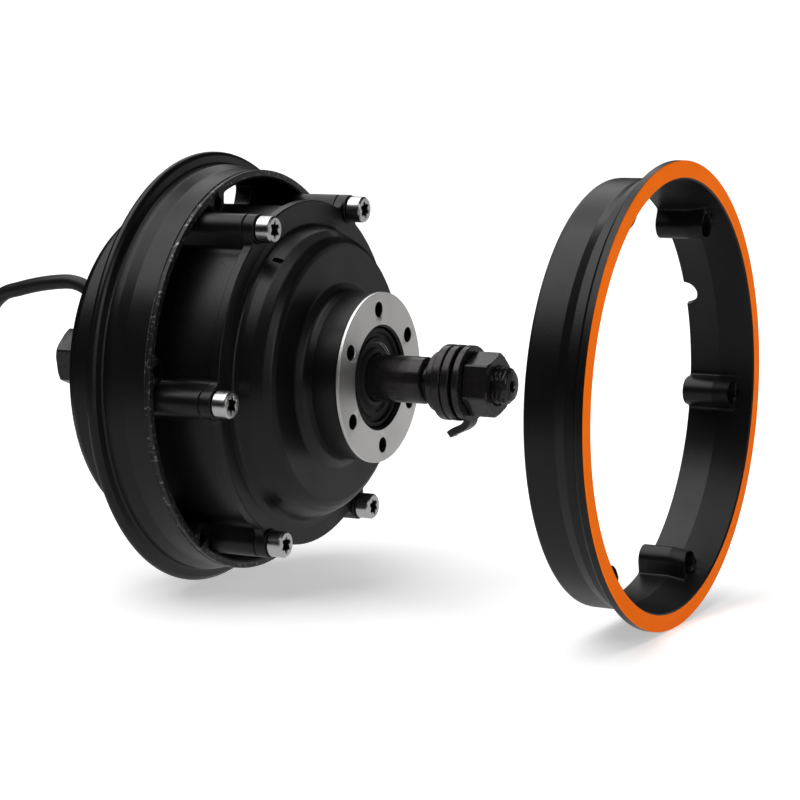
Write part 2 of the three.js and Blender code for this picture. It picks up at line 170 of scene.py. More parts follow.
def black_coat(name, roughness=(0.30, 0.42)):
    """Baked black paint with a fine orange-peel."""
    finish = Finish(name, (0.0045, 0.0045, 0.0052), roughness[0], 0.0, 0.42)
    finish.vary_roughness(finish.noise(45), *roughness)
    finish.bump(finish.noise(1700, 2), 0.03, 0.9)
    finish.bump(finish.noise(160, 2), 0.03, 0.4)
    return finish


cast_black = black_coat("cast_black").material

worn = black_coat("worn_edge", roughness=(0.3, 0.45))
rub = worn.spread(worn.noise(850, 6, (1, 0.5, 1)), 0.56, 0.66, 0, 1)
worn.blend_colour(rub, (0.012, 0.012, 0.013), (0.22, 0.22, 0.23))
worn.links.new(rub, worn.shader.inputs["Metallic"])
worn_edge = worn.material

turned_metal = Finish("turned_aluminium", (0.76, 0.75, 0.74), 0.4, 1.0).spun(0.2)
turned_metal.vary_roughness(turned_metal.noise(60), 0.38, 0.5)
turned_metal.bump(turned_metal.noise(500, 2), 0.004, 0.6)
turned_aluminium = turned_metal.material

# Near-black, matt walls for the through holes: the castings' own black, and painted shade inside
# the holes of the bright turned disc.
black_bore_painted_shade = Finish("black_bore_painted_shade", (0.006, 0.006, 0.007), 0.55).material

steel = Finish("black_steel", (0.030, 0.027, 0.027), 0.28, 0.55, 0.7)
steel.vary_roughness(steel.noise(260, 5), 0.17, 0.33)
steel.bump(steel.noise(900, 3), 0.003, 0.3)
black_steel = steel.material

bright = Finish("stainless", (0.60, 0.60, 0.60), 0.26, 1.0)
bright.vary_roughness(bright.noise(500, 4, (1, 0.1, 1)), 0.2, 0.36)
bright.bump(bright.noise(900, 3, (1, 0.12, 1)), 0.012, 0.6)
stainless = bright.material

race = Finish("bearing_steel", (0.55, 0.56, 0.58), 0.2, 1.0).spun(0.4)
bearing_steel = race.bump(race.noise(700, 2), 0.002, 0.5).material

soft = Finish("rubber", (0.012, 0.012, 0.012), 0.6, 0.0, 0.35)
soft.vary_roughness(soft.noise(300), 0.5, 0.68)
rubber = soft.bump(soft.noise(1500, 3), 0.012, 0.5).material

jacket = Finish("cable_jacket", (0.012, 0.012, 0.013), 0.42, 0.0, 0.45)
jacket.vary_roughness(jacket.noise(200), 0.36, 0.5)
cable_jacket = jacket.bump(jacket.noise(900, 3), 0.015, 0.4).material

moulded = Finish("black_plastic", (0.014, 0.014, 0.015), 0.4, 0.0, 0.5)
black_plastic = moulded.bump(moulded.noise(1300, 3), 0.01, 0.5).material

enamel = Finish("orange", (0.95, 0.19, 0.002), 0.5, 0.0, 0.02)
enamel.vary_roughness(enamel.noise(90), 0.45, 0.6)
clouds = enamel.spread(enamel.noise(25, 2), 0.3, 0.7, 0, 1)
enamel.blend_colour(clouds, (0.93, 0.185, 0.002), (1.0, 0.205, 0.004))
orange = enamel.bump(enamel.noise(1700, 2), 0.012, 0.5).material

sheet = Finish("lamination", (0.20, 0.20, 0.21), 0.45, 0.9)
lamination = sheet.bump(sheet.noise(900, 2, (0.1, 3, 0.1)), 0.03).material
wire = Finish("copper", (0.45, 0.16, 0.05), 0.32, 1.0)
copper = wire.bump(wire.noise(700, 2), 0.1).material
casting = Finish("aluminium", (0.42, 0.43, 0.44), 0.4, 1.0)
aluminium = casting.bump(casting.noise(900, 3), 0.03).material
plating = Finish("magnet", (0.45, 0.46, 0.47), 0.3, 1.0)
magnet = plating.bump(plating.noise(600, 2), 0.005).material
laminate = Finish("board", (0.01, 0.09, 0.03), 0.4)
board = laminate.bump(laminate.noise(500, 2), 0.01).material
pin_metal = Finish("pin_brass", (0.7, 0.5, 0.2), 0.3, 1.0).material

# ---- mesh helpers ----


def point(radius, y, fillet=0.4, weight=0.0, face=0):
    """One corner of a profile. weight takes the shape function's change, and face is the
    material index from this corner to the next."""
    return (radius, y, fillet, weight, face)


def rounded(corners, steps=5):
    """The closed profile with each corner turned into an arc: [radius, y, weight, face]."""
    nearly_zero = 1e-6
    sharpest, flattest = 0.05, math.pi / 2 - 0.02       # half angles that stay plain corners
    longest_share = 0.48                                # of a side, for the arc's start
    out = []
    for i, (r, y, fillet, weight, face) in enumerate(corners):
        face_before = corners[i - 1][4]
        here = Vector((r, y))
        back = Vector(corners[i - 1][:2]) - here
        ahead = Vector(corners[(i + 1) % len(corners)][:2]) - here
        if r < nearly_zero or fillet <= 0 or min(back.length, ahead.length) < nearly_zero:
            out.append((r, y, weight, face))
            continue
        half = back.angle(ahead) / 2
        if half < sharpest or half > flattest:
            out.append((r, y, weight, face))
            continue
        longest = longest_share * min(back.length, ahead.length)
        reach = min(fillet / math.tan(half), longest)
        to_middle = (back.normalized() + ahead.normalized()).normalized()
        middle = here + to_middle * (reach * math.tan(half) / math.sin(half))
        start = here + back.normalized() * reach - middle
        sweep = start.angle_signed(here + ahead.normalized() * reach - middle)
        for step in range(steps + 1):
            part = step / steps
            arm = Matrix.Rotation(-sweep * part, 2) @ start
            arc_face = face_before if part < 0.5 else face
            out.append((middle.x + arm.x, middle.y + arm.y, weight, arc_face))
    return out


def keep_sharp_edges(obj):
    """Shades flat faces flat, next to the smooth curves beside them."""
    weigh = obj.modifiers.new("weighted", "WEIGHTED_NORMAL")
    weigh.keep_sharp = True


def finish_mesh(name, vertices, faces, materials, indices=None, smooth_below=SMOOTH_BELOW):
    """An object from millimetre vertices, welded, facing outwards and shaded smooth."""
    mesh = bpy.data.meshes.new(name)
    mesh.from_pydata([tuple(c * MM for c in v) for v in vertices], [], faces)
    for material in materials:
        mesh.materials.append(material)
    if indices:
        mesh.polygons.foreach_set("material_index", indices)
    work = bmesh.new()
    work.from_mesh(mesh)
    bmesh.ops.remove_doubles(work, verts=work.verts, dist=1e-7)
    bmesh.ops.recalc_face_normals(work, faces=work.faces)
    work.to_mesh(mesh)
    work.free()
    mesh.shade_smooth()
    mesh.set_sharp_from_angle(angle=smooth_below)
    obj = bpy.data.objects.new(name, mesh)
    bpy.context.scene.collection.objects.link(obj)
    keep_sharp_edges(obj)
    return obj


def turn(name, profile, materials, steps=192, shape=None, closed=True):
    """A profile turned round Y. shape(angle, radius, y, weight) gives the radius there."""
    rows = len(profile)
    vertices = []
    for column in range(steps):
        angle = FULL_TURN * column / steps
        for radius, y, weight, _ in profile:
            r = shape(angle, radius, y, weight) if shape else radius
            vertices.append((r * math.sin(angle), y, r * math.cos(angle)))
    faces = []
    indices = []
    for column in range(steps):
        a = column * rows
        b = ((column + 1) % steps) * rows
        for row in range(rows if closed else rows - 1):
            after = (row + 1) % rows
            faces.append((a + row, a + after, b + after, b + row))
            indices.append(profile[row][3])
    return finish_mesh(name, vertices, faces, materials, indices)


def slab(name, outline, rear, front, material, bevel=0.4):
    """A flat plate with outline points [x, z] and bevelled edges, its thickness along Y."""
    count = len(outline)
    vertices = [(x, rear, z) for x, z in outline] + [(x, front, z) for x, z in outline]
    faces = [tuple(range(count)), tuple(range(2 * count - 1, count - 1, -1))]
    faces += [(i, i + count, (i + 1) % count + count, (i + 1) % count) for i in range(count)]
    obj = finish_mesh(name, vertices, faces, [material])
    soften(obj, bevel)
    return obj


def soften(obj, width):
    """Bevels the sharp edges, in millimetres."""
    bevel = obj.modifiers.new("bevel", "BEVEL")
    bevel.width = width * MM
    bevel.segments = 3
    bevel.limit_method = "ANGLE"
    bevel.angle_limit = math.radians(40)
    obj.modifiers.move(len(obj.modifiers) - 1, 0)


def apply_modifiers(obj):
    """Turns what the modifiers show into the mesh itself."""
    graph = bpy.context.evaluated_depsgraph_get()
    mesh = bpy.data.meshes.new_from_object(obj.evaluated_get(graph))
    obj.modifiers.clear()
    obj.data = mesh


def drill(obj, tools):
    """Cuts the tool objects out of obj and removes them."""
    for tool in tools:
        cut = obj.modifiers.new("cut", "BOOLEAN")
        cut.operation = "DIFFERENCE"
        cut.solver = "EXACT"
        cut.object = tool
        obj.modifiers.move(len(obj.modifiers) - 1, 0)
    apply_modifiers(obj)
    faces_the_axle_way = 0.9999
    for polygon in obj.data.polygons:
        polygon.use_smooth = abs(polygon.normal.y) < faces_the_axle_way
    obj.data.set_sharp_from_angle(angle=SMOOTH_BELOW)
    keep_sharp_edges(obj)
    for tool in tools:
        bpy.data.objects.remove(tool)


def move(obj, x, z):
    """Shifts the mesh across the axle, in millimetres."""
    obj.data.transform(Matrix.Translation((x * MM, 0, z * MM)))
    return obj


def rod(name, radius, rear, front, x, z, material, steps=40, mouth=0.0):
    """The tool for a round hole along Y. A mouth widens it at front, and then the tool
    goes on for another millimetre so that it cuts right through the surface."""
    end = front + 1 if mouth > 0 else front
    profile = [
        (0, rear, 0, 0), (radius, rear, 0, 0), (radius, front - mouth, 0, 0),
        (radius + mouth, front, 0, 0), (radius + mouth, end, 0, 0), (0, end, 0, 0),
    ]
    return move(turn(name, profile, [material], steps), x, z)


def around(radius, degrees):
    """[x, z] of a place round the axle, from +Z towards +X."""
    t = math.radians(degrees)
    return radius * math.sin(t), radius * math.cos(t)


def stand(obj, body, *nodes):
    """obj rides on the body and stands for these CAD nodes."""
    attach(obj, body)
    if nodes:
        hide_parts(*nodes)
    return obj


def turn_with_wheel(obj):
    """Turns the mesh round the axle to where the wheel stands."""
    obj.data.transform(Matrix.Rotation(WHEEL_TURN, 4, "Y"))
    return obj


# ---- outlines with bosses on them ----

SIXTH = 60                              # degrees from one screw or bolt to the next
SCREW_CIRCLE = 58
SCREW_ANGLE = 30
SCREWS = [SCREW_ANGLE + SIXTH * k for k in range(6)]
BOLT_CIRCLE = 61
BOLT_ANGLE = 21
BOLTS = [BOLT_ANGLE + SIXTH * k for k in range(6)]
BOLT_HOLE = 2.2
VALVE_ANGLE = -69


def nearness(x, z, circles):
    """Distance from a place to the nearest of some circles, less than 0 inside one."""
    return min(math.hypot(x - cx, z - cz) - radius for cx, cz, radius in circles)


def merged_distance(a, b, blend):
    """The smooth minimum of two distances, which fillets the corner between two shapes."""
    h = max(blend - abs(a - b), 0) / blend
    return min(a, b) - h * h * blend / 4


def boss_shift(base, circle, first, radius, blend, inward=False):
    """A function of angle: how far bosses on a circle move a round wall of radius base.

    The wall is found once for every tenth of a degree of one boss, by halving the range.
    """
    centres = [(*around(circle, first + SIXTH * k), radius) for k in range(6)]
    furthest = 12
    halvings = 24
    tenths = 10 * SIXTH
    start = first - SIXTH / 2
    table = []
    for tenth in range(tenths):
        angle = math.radians(start + tenth / 10)
        low, high = (base - furthest, base) if inward else (base, base + furthest)
        for _ in range(halvings):
            middle = (low + high) / 2
            wall = base - middle if inward else middle - base
            boss = nearness(middle * math.sin(angle), middle * math.cos(angle), centres)
            solid = merged_distance(wall, boss, blend) < 0
            if solid == inward:
                high = middle
            else:
                low = middle
        table.append(low - base)

    def shift(angle):
        place = ((math.degrees(angle) - first + SIXTH / 2) % SIXTH) * 10
        index = int(place) % tenths
        part = place - int(place)
        return table[index] * (1 - part) + table[(index + 1) % tenths] * part

    return shift


def moved_by(shift):
    """The shape function of a wall that the bosses move where its weight isn't 0."""
    return lambda angle, r, y, weight: r + weight * shift(angle)


post_shift = boss_shift(54, SCREW_CIRCLE, SCREW_ANGLE, 4.75, 4.5)
ear_shift = boss_shift(56, SCREW_CIRCLE, SCREW_ANGLE, 4.75, 3.5)
shell_boss_shift = boss_shift(62.6, BOLT_CIRCLE, BOLT_ANGLE, 4.3, 2.5, inward=True)
ring_boss_shift = boss_shift(63.4, BOLT_CIRCLE, BOLT_ANGLE, 4.4, 2.5, inward=True)

# ---- hub shell ----

WHEEL = "wheel"
FINE = 720                              # steps round the parts that carry bosses


def valve_tool(name):
    """The tool for the valve hole, which points out of the rim."""
    tool = rod(name, 4, 50, 75, 0, 0, cast_black)
    tool.data.transform(Matrix.Rotation(math.radians(90), 4, "X"))
    tool.data.transform(Matrix.Rotation(math.radians(VALVE_ANGLE), 4, "Y"))
    return tool


drum = turn("hub_drum", rounded([
    point(16.3, -47.5), point(20, -47.5), point(21, -46.5), point(22, -41, 1.5),
    point(47.5, -41, 3), point(51.5, -39.8, 3), point(54, -36.5, 2), point(54, -16.5, 0),
    point(54, -14, 0, 1), point(54, 15.5, 0.5, 1), point(50, 15.5), point(50, -36.5),
    point(24, -36.5), point(24, -32.4), point(13, -32.4), point(13, -35.2), point(16.3, -35.2),
]), [cast_black], FINE, moved_by(post_shift))
stand(turn_with_wheel(drum), WHEEL, "hub_shell")

rim = turn("hub_rim", rounded([
    point(62.0, -20.2, 0.6), point(69.9, -20.3, 1.2), point(71, -19.2, 1.4),
    point(71, -17.8, 1.4), point(69.8, -16.8, 0.9), point(67.6, -16.3, 0.5),
    point(67.0, -15.9, 0.4),
    point(66.9, -13.2, 1.2), point(65.45, -9.8, 1.2), point(65.4, -2.0, 0.1, 0, 1),
    point(65.05, -1.75, 0.1, 0, 1), point(65.05, -1.4, 0.1, 0, 1), point(65.4, -1.15, 0.1, 0, 1),
    point(65.3, -0.05, 0.3, 0, 1), point(63.4, 0, 0.15, 0.4), point(62.6, -0.4, 0.2, 1),
    point(62.6, -7, 0.8, 1), point(62.6, -7.01, 0, 0), point(62.6, -14.2, 0.8),
    point(62.0, -14.2, 0),
]), [cast_black, worn_edge], FINE, moved_by(shell_boss_shift))
holes = [rod(f"hole_{a}", BOLT_HOLE, -9, 2, *around(BOLT_CIRCLE, a), black_bore_painted_shade) for a in BOLTS]
drill(rim, [*holes, valve_tool("valve_hole")])
stand(turn_with_wheel(rim), WHEEL, "hub_shell")


def spoke_outline(half_width, inner, outer, root):
    """A spoke half_width degrees to each side that widens by root at both ends, so that
    it flows into the drum and the rim."""
    right = []
    for step in range(13):
        part = step / 12
        r = inner + (outer - inner) * part
        flare = root * (2 * part - 1) ** 4
        t = math.radians(half_width) + flare / r
        right.append((r * math.sin(t), r * math.cos(t)))
    return right + [(-x, z) for x, z in reversed(right)]


for index, angle in enumerate(SCREWS):
    outline = spoke_outline(9, 53.2, 63.0, 2.2)
    spoke = slab(f"spoke_{index + 1}", outline, -20.2, -14.1, cast_black, 0.9)
    spoke.data.transform(Matrix.Rotation(math.radians(angle), 4, "Y"))
    stand(turn_with_wheel(spoke), WHEEL, "hub_shell")

# ---- front cover ----

cover = turn("front_cover_casting", rounded([
    point(49.6, 12), point(49.6, 15.8, 0), point(56, 15.8, 0.25, 1), point(56, 19, 0.6, 1),
    point(50.6, 19, 0.5), point(48.4, 19.3, 1.5), point(47.5, 21.0, 1.8), point(46.4, 24.4, 4),
    point(44.6, 27.6, 4), point(42.6, 29.7, 3), point(41.0, 30.4, 1.6), point(30.2, 30.4, 2.2),
    point(27.3, 32.4, 2.6), point(26.9, 35, 1), point(26.9, 43.4, 0.3),
    point(27.4, 43.9, 0.3, 0, 1), point(27.4, 45, 0.25, 0, 1), point(17.0, 45, 0.25), point(16.3, 44.3, 0.3), point(16.3, 31.6),
    point(13.3, 31.6), point(13.3, 27), point(38.5, 26.2), point(42.6, 23.4), point(45, 17),
    point(46.2, 12),
]), [cast_black, turned_aluminium], FINE, moved_by(ear_shift))
# The disc holes' walls take the near-black bore finish: painted shade in the bright aluminium
# disc.
disc_holes = [
    rod(f"disc_hole_{k}", 2.2, 36.5, 44.7, *around(22, SIXTH * k), black_bore_painted_shade, mouth=0.3)
    for k in range(6)
]
dimple_x, dimple_z = around(46.9, 31.4)
dimple = rod("dimple", 1.0, 21.5, 24.5, dimple_x, dimple_z, cast_black, 24)
drill(cover, [*disc_holes, dimple])
stand(turn_with_wheel(cover), WHEEL, "front_cover")

for index, angle in enumerate(SCREWS):
    seat = turn(f"screw_seat_{index + 1}", rounded([
        point(0, 17), point(4.72, 17, 0), point(4.72, 19.8, 0.45), point(0, 19.8, 0),
    ]), [cast_black], 96)
    move(seat, *around(SCREW_CIRCLE, angle))
    stand(turn_with_wheel(seat), WHEEL, "front_cover")

o_ring = turn("cover_seal", rounded([
    point(51.5, 14.6, 0.25), point(52.5, 14.6, 0.25), point(52.5, 15.2, 0.25),
    point(51.5, 15.2, 0.25),
]), [rubber], 192)
stand(turn_with_wheel(o_ring), WHEEL, "cover_o_ring")


def cap_screw(name, x, z):
    """A turned stainless cap screw with a six-lobe socket, each screw turned its own way."""
    lobe_depth = 0.42
    degrees_per_mm = 37

    def lobes(angle, r, y, weight):
        return r + weight * lobe_depth * math.cos(6 * angle)

    screw = turn(name, rounded([
        point(0, 2.1, 0), point(2.1, 2.1, 0), point(2.5, 2.6, 0.2), point(2.5, 20.0, 0.2),
        point(4.1, 20.1, 0.2), point(4.25, 20.4, 0.2), point(4.25, 24.5, 0.35),
        point(3.75, 25.1, 0.3),
        point(2.45, 25.1, 0.15, 1, 0), point(2.2, 24.8, 0.15, 1, 1), point(2.2, 22.5, 0.2, 1, 1),
        point(0, 22.1, 0, 0, 1),
    ]), [stainless, painted_shade_socket], 144, lobes)
    screw.data.transform(Matrix.Rotation(math.radians(degrees_per_mm * x), 4, "Y"))
    return move(screw, x, z)


# The socket's walls and floor are painted a dark brown, far below the stainless of the head:
# painted shade in the recess.
socket = Finish("screw_socket_painted_shade", (0.09, 0.075, 0.06), 0.42, 0.9)
painted_shade_socket = socket.bump(socket.noise(900, 3), 0.02, 0.6).material
for index, angle in enumerate(SCREWS):
    screw = cap_screw(f"cap_screw_{index + 1}", *around(SCREW_CIRCLE, angle))
    stand(turn_with_wheel(screw), WHEEL, f"cover_screw_{index + 1}")

# ---- loose rim half ----

ring = turn("rim_ring", rounded([
    point(63.4, 0, 0.2, 1), point(65.3, 0, 0.3), point(65.4, 0.9, 0.3), point(65.45, 9.8, 1.2),
    point(66.9, 13.2, 1.2), point(67.0, 16.5, 0.4), point(67.8, 17.0, 0.5), point(70, 17.5, 0.9),
    point(71, 18.5, 0.8), point(71, 20.75, 0.25, 0, 1), point(70.75, 21, 0.25, 0, 1),
    point(65.9, 21, 0.3, 0, 0), point(65.4, 20.6, 0.4, 0, 0), point(64.4, 15.52, 0, 0, 0),
    point(64.4, 15.5, 0, 1, 0), point(63.4, 10, 0.5, 1, 0),
]), [cast_black, orange], FINE, moved_by(ring_boss_shift))
tools = [
    rod(f"bolt_hole_{a}", BOLT_HOLE, -1, 20, *around(BOLT_CIRCLE, a), black_bore_painted_shade) for a in BOLTS
]
tools += [
    rod(f"pocket_{a}", 3.5, 11.5, 15.4, *around(BOLT_CIRCLE, a), cast_black, mouth=0.3)
    for a in BOLTS
]
drill(ring, [*tools, valve_tool("half_valve")])
ring.data.transform(Matrix.Translation((0, RING_Y * MM, 0)))
stand(turn_with_wheel(ring), "rim_half", "outer_rim_half")

# ---- axle ----

ROOT = "axle_and_stator"
THREAD_R = 5.9
THREAD_DEPTH = 0.75
THREAD_STEP = 0.15                      # between the rows of vertices along a thread
PITCH = 1.5
FLATS = (-61, 65.5)                     # the two flats run outwards from here
HALF_ACROSS_FLATS = 5


def axle_radius(angle, r, y, weight):
    """Threads where weight is 1, flat at root and crest, then the flats near the ends."""
    if weight:
        wave = abs(((y / PITCH - angle / FULL_TURN) % 1) * 2 - 1)
        r -= weight * THREAD_DEPTH * min(max(wave * 1.3 - 0.15, 0), 1)
    if y < FLATS[0] or y > FLATS[1]:
        r = min(r, HALF_ACROSS_FLATS / max(abs(math.sin(angle)), 0.1))
    return r


def axle_profile():
    """From the lead side's end to the disc side's, with a thread on both ends."""
    rows = [(0, -77.5, 0, 0), (4.6, -77.5, 0, 0), (5.2, -77.0, 0.4, 0)]
    rows += [(THREAD_R, -76.4 + THREAD_STEP * i, 1, 0) for i in range(110)]
    rows += [(THREAD_R, -59.55, 0, 0), (7.2, -59.5, 0, 0), (7.5, -59.2, 0, 0), (7.5, -35.2, 0, 0)]
    rows += [(10, -35.2, 0, 0), (10, 31.6, 0, 0), (7.5, 31.6, 0, 0), (7.5, 61.6, 0, 0)]
    rows += [(7.3, 62.1, 0, 0), (6.8, 62.5, 0, 0), (5.6, 62.5, 0, 0), (5.6, 63.3, 0, 0)]
    rows += [(THREAD_R, 63.6 + THREAD_STEP * i, 1, 0) for i in range(180)]
    rows += [(5.3, 90.8, 0.5, 0), (4.7, 91.5, 0, 0), (4.3, 91.7, 0, 0), (2.1, 91.7, 0, 0)]
    rows += [(1.7, 91.3, 0, 0), (1.7, 88, 0, 0), (0, 87, 0, 0)]
    return rows


axle = turn("axle_shaft", axle_profile(), [black_steel], 160, axle_radius, closed=False)
stand(axle, ROOT, "axle")



def shaft_seal(side, middle, half, out):
    """A rubber seal with a bright ring in it. Each corner is [radius, share of half the
    thickness, fillet], and out is +1 or -1 along the axle."""
    lip = [
        (7.8, -1, 0.2), (15.9, -1, 0.2), (15.9, 0.9, 0.3), (14.6, 1, 0.2), (14.3, 0.2, 0.2),
        (13.0, 0.1, 0.3), (12.8, 0.6, 0.2), (11.4, 0.6, 0.3), (11.1, 0, 0.2), (9.7, -0.1, 0.3),
        (9.3, 0.9, 0.3), (7.8, 0.95, 0.2),
    ][::out]
    bright_from = 11.4 if out > 0 else 11.1
    corners = [point(r, middle + out * half * h, f, 0, int(r == bright_from)) for r, h, f in lip]
    seal = turn(f"seal_{side}", rounded(corners), [rubber, bearing_steel], 160)
    stand(turn_with_wheel(seal), WHEEL, f"shaft_seal_{side}")


shaft_seal("right", 42.5, 1.3, 1)
shaft_seal("left", -46.0, 1.2, -1)


def washer(name, rear, front, outer, edge=0.35):
    """A flat ring on the axle; edge is the fillet round its rim."""
    bore = 6.2
    profile = rounded([
        point(bore, rear, 0.2), point(outer, rear, edge), point(outer, front, edge),
        point(bore, front, 0.2),
    ])
    return turn(name, profile, [black_steel], 128)


def axle_nut(name, rear, front, out):
    """A hexagon with the chamfer on its outer face; out is +1 or -1 along the axle."""
    half_side = math.radians(30)
    flat = 10.4 * math.cos(half_side)
    longest = 10.22                     # the corners are turned down to this radius
    chamfer_from = 9.35
    chamfer_slope = 1.75
    turned_by = math.radians(49.4 if out > 0 else -49.4)
    outer_end = front if out > 0 else rear

    def hexagon(angle, r, y, weight):
        if not weight:
            return r
        off = (angle - turned_by + half_side) % (2 * half_side) - half_side
        corner = flat / math.cos(half_side - abs(off))
        cone = chamfer_from + chamfer_slope * abs(y - outer_end)
        return min(corner, cone, longest)

    if out > 0:
        first = [(6.3, rear, 0, 0), (6.9, rear, 0, 0)]
        sides = [rear + 0.15, *[front - 1.6 + 0.1 * i for i in range(17)]]
        last = [(6.7, front, 0, 0), (6.0, front - 0.7, 0, 0)]
    else:
        first = [(6.0, rear + 0.7, 0, 0), (6.7, rear, 0, 0)]
        sides = [*[rear + 0.1 * i for i in range(17)], front - 0.15]
        last = [(6.9, front, 0, 0), (6.3, front, 0, 0)]
    hexagonal = [(10.2, y, 1, 0) for y in sides]
    profile = [*first, (8.8, rear, 0, 0), *hexagonal, (8.8, front, 0, 0), *last]
    return turn(name, profile, [black_steel], 360, hexagon)


def hook(name, near, far, towards):
    """The tab of a hook washer: out past the rim, then slanting along the axle to towards."""
    middle = (near + far) / 2
    thickness = far - near
    run = towards - middle
    path = [(middle, -10.8), (middle, -11.8)]
    slant = [
        (0.04, 12.5), (0.12, 13.2), (0.25, 13.9), (0.42, 14.5), (0.6, 15.1), (0.78, 15.8),
        (0.92, 16.6),
    ]
    path += [(middle + run * part, -drop) for part, drop in slant]
    vertices = []
    for index, (y, z) in enumerate(path):
        before = Vector(path[max(index - 1, 0)])
        after = Vector(path[min(index + 1, len(path) - 1)])
        along = (after - before).normalized()
        across = Vector((-along.y, along.x)) * thickness / 2
        width = 3.2 - 0.12 * index
        for x, side in ((-width, -1), (width, -1), (width, 1), (-width, 1)):
            vertices.append((x, y + side * across.x, z + side * across.y))
    faces = [(0, 1, 2, 3), tuple(4 * (len(path) - 1) + i for i in (3, 2, 1, 0))]
    for index in range(len(path) - 1):
        a = 4 * index
        faces += [(a + i, a + (i + 1) % 4, a + 4 + (i + 1) % 4, a + 4 + i) for i in range(4)]
    tab = finish_mesh(name, vertices, faces, [black_steel], smooth_below=math.radians(50))
    soften(tab, 0.35)
    return tab


stand(washer("collar", 65.6, 68.4, 9.5), ROOT, "right_collar")
stand(washer("washer_inner", 68.7, 71.7, 12, 0.5), ROOT, "right_washer_inner")
stand(washer("washer_outer", 72.0, 74.8, 12, 0.5), ROOT, "right_washer_outer")
stand(washer("hook_washer_disc", 76.0, 78.3, 12), ROOT, "right_hook_washer")
stand(hook("hook_washer_tab", 76.0, 78.3, 69.8), ROOT, "right_hook_washer")
stand(axle_nut("nut_right", 78.6, 87.0, 1), ROOT, "right_axle_nut")
stand(washer("washer_left", -64.8, -62.4, 12, 0.5), ROOT, "left_washer")
stand(washer("hook_washer_left_disc", -67.3, -65.1, 12), ROOT, "left_hook_washer")
stand(hook("hook_washer_left_tab", -67.3, -65.1, -59.3), ROOT, "left_hook_washer")
stand(axle_nut("nut_left", -75.2, -67.6, -1), ROOT, "left_axle_nut")

# ---- motor cable, in metres ----

EXIT = (0.0, -0.0540, 0.0075)
LEAD = [
    (0, -.0540, .0075), (0, -.0559, .0098), (0, -.0606, .0154), (0, -.0653, .0210),
    (0, -.0690, .0242), (0, -.0740, .0258), (0, -.0800, .0257), (0, -.0880, .0246),
    (-.0005, -.0970, .0226), (-.0015, -.1050, .0202), (-.0035, -.1118, .0140),
    (-.0055, -.1150, .0030), (-.0075, -.1175, -.0090), (-.0090, -.1190, -.0220),
    (-.0105, -.1205, -.0350), (-.0115, -.1220, -.0460), (-.0118, -.1250, -.0555),
    (-.0110, -.1305, -.0625), (-.0103, -.1365, -.0662),
]
COIL = (0.0125, -0.1455)
COIL_Z = -0.0676
COIL_FIRST = 0.0208
COIL_LAST = 0.0316
COIL_TURNS = 2
STEPS_PER_TURN = 24
TAIL = [
    (-.0208, -.1500, -.0672), (-.0208, -.1570, -.0656), (-.0208, -.1640, -.0640),
    (-.0208, -.1710, -.0635),
]


def coil_points():
    """Turns lying on the floor, each outside the last."""
    points = []
    steps = COIL_TURNS * STEPS_PER_TURN
    for step in range(steps + 1):
        part = step / steps
        angle = math.pi + COIL_TURNS * FULL_TURN * part
        r = COIL_FIRST + (COIL_LAST - COIL_FIRST) * part
        points.append((COIL[0] + r * math.cos(angle), COIL[1] + r * math.sin(angle), COIL_Z))
    return points


def through(points, steps=6):
    """A smooth line through the points: a Catmull-Rom curve."""
    line = []
    pts = [Vector(p) for p in points]
    for i in range(len(pts) - 1):
        a = pts[max(i - 1, 0)]
        b = pts[i]
        c = pts[i + 1]
        d = pts[min(i + 2, len(pts) - 1)]
        linear = c - a
        square = 2 * a - 5 * b + 4 * c - d
        cube = 3 * b - a - 3 * c + d
        for step in range(steps):
            t = step / steps
            line.append(0.5 * (2 * b + linear * t + square * t ** 2 + cube * t ** 3))
    line.append(pts[-1])
    return line


def tube(name, points, radius, material):
    """A round tube along the points, in metres."""
    curve = bpy.data.curves.new(name, "CURVE")
    curve.dimensions = "3D"
    curve.bevel_depth = radius
    curve.bevel_resolution = 6
    curve.use_fill_caps = True
    spline = curve.splines.new("POLY")
    spline.points.add(len(points) - 1)
    for place, position in zip(spline.points, points):
        place.co = (*position, 1)
    curve.materials.append(material)
    obj = bpy.data.objects.new(name, curve)
    bpy.context.scene.collection.objects.link(obj)
    return obj


route = through([*LEAD, *coil_points(), *TAIL])
cable = tube("cable", route, CABLE_DIAMETER / 2, cable_jacket)
stand(cable, ROOT, "motor_cable", "cable_coil")


def aim_along(obj, start, direction):
    """Moves a part modelled along +Y from the origin to a place and direction, in metres."""
    turned = Vector((0, 1, 0)).rotation_difference(Vector(direction)).to_matrix().to_4x4()
    obj.data.transform(Matrix.Translation(start) @ turned)
    return obj


def ribbed_sleeve():
    """The tapered sleeve where the lead leaves the axle, with five ribs on it."""
    rib_pitch = 2.6
    taper = 0.055
    groove = 0.22
    profile = [(2.55, 12.9, 0, 0), (3.0, 12.9, 0, 0)]
    for rib in range(5):
        start = 13.6 + rib * rib_pitch
        size = 3.0 - taper * rib
        profile += [(size, start, 0, 0), (size, start + 1.6, 0, 0)]
        profile += [(size - groove, start + 1.8, 0, 0), (size - groove, start + 2.4, 0, 0)]
    profile += [(2.66, 27.0, 0, 0), (2.55, 27.3, 0, 0)]
    return turn("cable_sleeve", profile, [rubber], 48)


SLEEVE_START = (0, EXIT[1] + 0.00643, EXIT[2] - 0.00766)    # 10 mm back inside the axle
sleeve = aim_along(ribbed_sleeve(), SLEEVE_START, (0, -0.643, 0.766))
stand(sleeve, ROOT, "cable_grommet")


